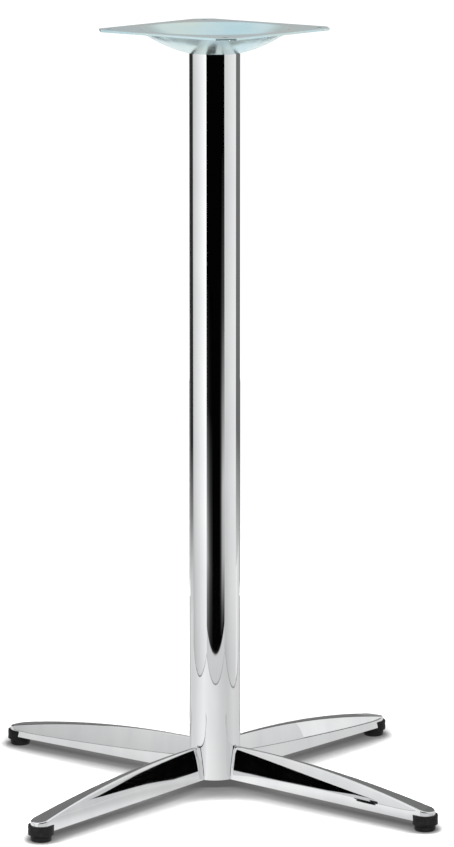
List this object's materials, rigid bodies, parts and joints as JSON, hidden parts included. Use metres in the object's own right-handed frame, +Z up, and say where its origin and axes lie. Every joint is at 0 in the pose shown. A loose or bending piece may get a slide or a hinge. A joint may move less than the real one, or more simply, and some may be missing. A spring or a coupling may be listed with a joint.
{
  "type": "table base",
  "caption": "Bar-height table base: a chromed round column on low arched legs with black glides, carrying a dished square plate that a table top screws to.",
  "frame": {"origin": "on the floor, on the column's axis", "axes": "+Z up along the column; the legs run along +X, +Y, -X and -Y; the plate's sides are square to them"},
  "size_m": [0.76, 0.76, 1.05],
  "materials": {
    "chrome": "mirror-bright chrome plate on steel",
    "zinc_plate": "bright zinc plate with a faint blue-green passivation",
    "bare_steel": "plain mild steel",
    "plated_fastener": "zinc-plated fastener",
    "black_plastic": "moulded black plastic, slightly satin"
  },
  "bodies": {
    "root": {"top_plate": "zinc_plate", "column": "chrome", "leg_right": "chrome", "leg_back": "chrome", "leg_left": "chrome", "leg_front": "chrome", "hub_cup": "bare_steel", "column_disc": "bare_steel", "column_top_disc": "bare_steel", "tie_rod": "plated_fastener", "top_washer": "plated_fastener", "top_nut": "plated_fastener", "bottom_washer": "plated_fastener", "bottom_nut": "plated_fastener", "glide_right": "black_plastic", "glide_back": "black_plastic", "glide_left": "black_plastic", "glide_front": "black_plastic", "strap_right": "bare_steel", "strap_back": "bare_steel", "strap_left": "bare_steel", "strap_front": "bare_steel", "glide_screws": "plated_fastener"}
  },
  "joints": []
}
